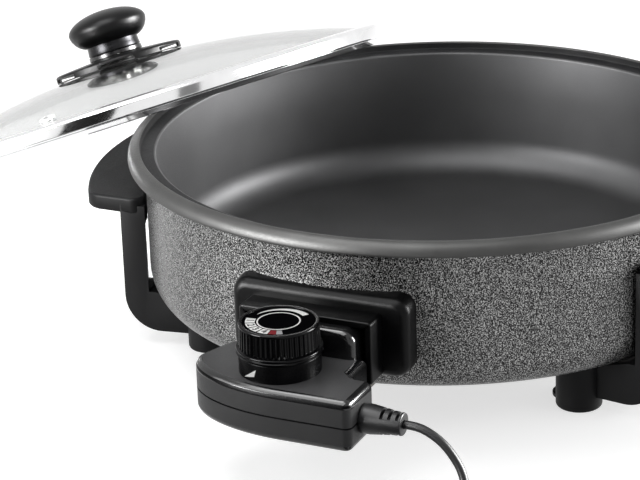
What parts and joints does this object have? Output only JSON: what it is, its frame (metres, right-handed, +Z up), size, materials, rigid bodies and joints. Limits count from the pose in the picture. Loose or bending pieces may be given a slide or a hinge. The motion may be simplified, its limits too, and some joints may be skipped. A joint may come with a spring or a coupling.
{
  "type": "electric skillet",
  "caption": "Round electric skillet on handle-and-leg mouldings, with a lift-off glass lid leaning on its rim, a plug-in heat control with a dial, and a coiled cord.",
  "frame": {"origin": "centre of the pan's cooking floor, on the pan's axis", "axes": "+Z up out of the pan, -Y towards the socket and its heat control, +X and -X towards the two handles"},
  "size_m": [0.589, 0.5509, 0.1339],
  "materials": {
    "pan_coating": "cast, dark non-stick coat inside, hammered enamel outside",
    "element_sheath": "dull, heat-darkened",
    "ceramic": "unglazed ceramic bead",
    "plain_steel": "plain zinc plate",
    "black_phenolic": "satin moulded",
    "tempered_glass": "clear, polished",
    "polished_steel": "mirror polished",
    "grey_silicone": "matt",
    "gloss_black": "gloss moulded",
    "dark_chrome": "dark mirror",
    "satin_black": "satin moulded",
    "mica_board": "matt board",
    "contact_brass": "plain",
    "black_rubber": "satin",
    "printed_plate": "black with white and red heat marks",
    "shaft_nylon": "natural nylon"
  },
  "bodies": {
    "pan": {"pan_body": "pan_coating", "heating_element": "element_sheath", "terminal_bead_left": "ceramic", "terminal_bead_right": "ceramic", "terminal_pin_left": "plain_steel", "terminal_pin_right": "plain_steel", "socket_guard": "black_phenolic", "guard_screw_left": "plain_steel", "guard_screw_right": "plain_steel", "handle_left": "black_phenolic", "handle_right": "black_phenolic", "foot_screw_left_front": "plain_steel", "foot_screw_left_rear": "plain_steel", "foot_screw_right_front": "plain_steel", "foot_screw_right_rear": "plain_steel"},
    "lid": {"lid_glass": "tempered_glass", "lid_rim": "polished_steel", "lid_gasket": "grey_silicone", "vent_eyelet": "polished_steel", "knob_washer": "grey_silicone", "knob_finger_guard": "black_phenolic", "knob_base_ring": "gloss_black", "knob_collar": "dark_chrome", "knob_head": "satin_black", "inner_washer": "plain_steel", "knob_screw": "plain_steel"},
    "control": {"control_shell_upper": "gloss_black", "control_shell_lower": "gloss_black", "shell_screw_left": "plain_steel", "shell_screw_right": "plain_steel", "insulating_block": "mica_board", "contact_socket_left": "contact_brass", "contact_socket_right": "contact_brass", "probe_rod": "plain_steel", "bimetal_blade": "plain_steel", "contact_blade": "contact_brass", "cord_boot": "black_rubber", "cord_free": "black_rubber", "cord_coil": "black_rubber", "cord_tie": "black_rubber", "cord_lead": "black_rubber", "plug_body": "black_rubber", "plug_blade_front": "contact_brass", "plug_blade_rear": "contact_brass"},
    "dial": {"dial_knob": "gloss_black", "dial_plate": "printed_plate", "dial_shaft": "shaft_nylon"}
  },
  "joints": [
    {"name": "control_slide", "type": "slide", "parent": "pan", "child": "control", "axis": [0, -1, 0], "range_m": [0, 0.06]},
    {"name": "dial_turn", "type": "hinge", "parent": "control", "child": "dial", "pos_m": [0, -0.2058, 0.03], "axis": [0, 0, 1], "range_deg": [-90, 180]},
    {"name": "lid_lift", "type": "slide", "parent": "pan", "child": "lid", "axis": [0, 0, 1], "range_m": [0, 0.25]}
  ]
}
